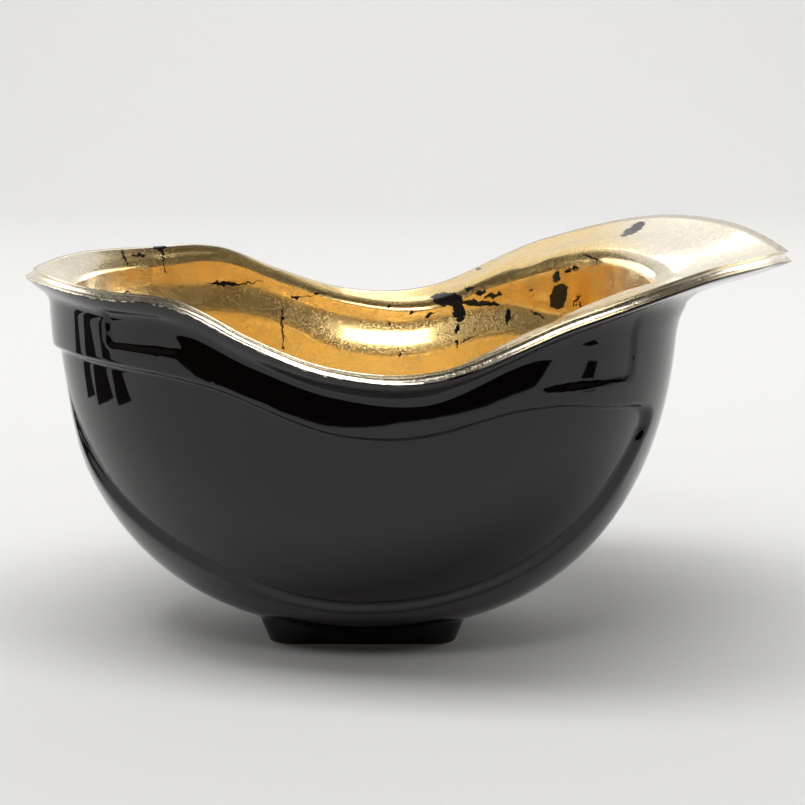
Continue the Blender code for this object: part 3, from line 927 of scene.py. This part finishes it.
def card(name, place, size, glow):
    """A black card that faces the bowl and glows evenly, unseen by the camera."""
    bpy.ops.mesh.primitive_plane_add(size=1.0)
    made = bpy.context.active_object
    made.name = name
    made.scale = (size[0], size[1], 1.0)
    facing(made, place, BOWL_MIDDLE, "Z")
    made.data.materials.append(plain(name, BLACK, glow=glow))
    made.visible_camera = False
    made.visible_shadow = False


def lamp(name, place, toward, size, power, mirrored=True, lights_board=True):
    """A square-cornered lamp that shows in the gloss, lights the board, or does both."""
    data = bpy.data.lights.new(name, "AREA")
    data.shape = "RECTANGLE"
    data.size, data.size_y = size
    data.energy = power
    made = bpy.data.objects.new(name, data)
    bpy.context.collection.objects.link(made)
    facing(made, place, toward, "-Z")
    made.visible_glossy = mirrored
    made.visible_diffuse = lights_board


def strip(name, start, end, width):
    """A dark strip on the board, unseen by the camera: it shows as a dark shape in the glaze."""
    bpy.ops.mesh.primitive_plane_add(size=1.0)
    made = bpy.context.active_object
    made.name = name
    made.location = ((start[0] + end[0]) / 2, (start[1] + end[1]) / 2, STRIP_LIFT)
    made.rotation_euler.z = math.atan2(end[1] - start[1], end[0] - start[0])
    made.scale = (math.dist(start, end), width, 1.0)
    made.data.materials.append(plain(name, BLACK))
    made.visible_camera = False
    made.visible_diffuse = False
    made.visible_shadow = False


board()
card("left_card", (-1.52, 0.70, 0.42), (1.3, 1.1), 1.9)
card("right_card", (1.50, 0.76, 0.50), (1.3, 1.2), 1.9)
card("back_card", (0.0, 1.95, 1.10), (3.2, 1.7), 0.85)
strip("left_gap_1", (-0.32, -0.04), (-1.20, 0.08), 0.045)
strip("left_gap_2", (-0.33, 0.03), (-1.20, 0.28), 0.070)
strip("left_gap_3", (-0.34, 0.10), (-1.20, 0.48), 0.045)
strip("right_gap", (0.39, -0.155), (0.48, -0.165), 0.045)
lamp("front_lamp", (-0.03, -0.80, 0.98), BOWL_MIDDLE, (0.86, 0.62), 8.5, lights_board=False)
lamp("back_lamp", (0.02, 0.95, 0.98), BOWL_MIDDLE, (0.50, 0.26), 0.8, lights_board=False)
lamp("top_wash", (-0.05, -0.30, 1.6), BOARD_MIDDLE, (1.7, 0.6), 18.5, mirrored=False)
lamp("key_wash", (-0.25, -1.15, 1.45), BOARD_MIDDLE, (0.8, 0.4), 3.8, mirrored=False)
lamp("back_wash", (0.0, 0.40, 1.5), BACKDROP_MIDDLE, (3.0, 0.5), 19.0, mirrored=False)


def room():
    """A dark room, a little less dark above the board than below it."""
    world = bpy.data.worlds.new("room")
    world.use_nodes = True
    tree = world.node_tree
    up = node(tree, "SeparateXYZ", {0: node(tree, "TexCoord").outputs["Generated"]}).outputs["Z"]
    put(tree, tree.nodes["Background"].inputs["Color"], ROOM_COLOUR)
    strength = ramp(tree, up, *ROOM_CLIMB, ROOM_BELOW, ROOM_ABOVE)
    put(tree, tree.nodes["Background"].inputs["Strength"], strength)
    return world


bpy.context.scene.world = room()
bpy.context.scene.view_settings.view_transform = "Standard"

# %% Camera
CAMERA_PLACE = (0.01948, -0.81503, 0.24238)
CAMERA_TARGET = (0.01461, 0.0, 0.08535)
CAMERA_LENS = 100.26

camera_data = bpy.data.cameras.new("camera")
camera_data.lens = CAMERA_LENS
camera_data.sensor_width = 36.0
camera = bpy.data.objects.new("camera", camera_data)
bpy.context.collection.objects.link(camera)
facing(camera, CAMERA_PLACE, CAMERA_TARGET, "-Z")
bpy.context.scene.camera = camera
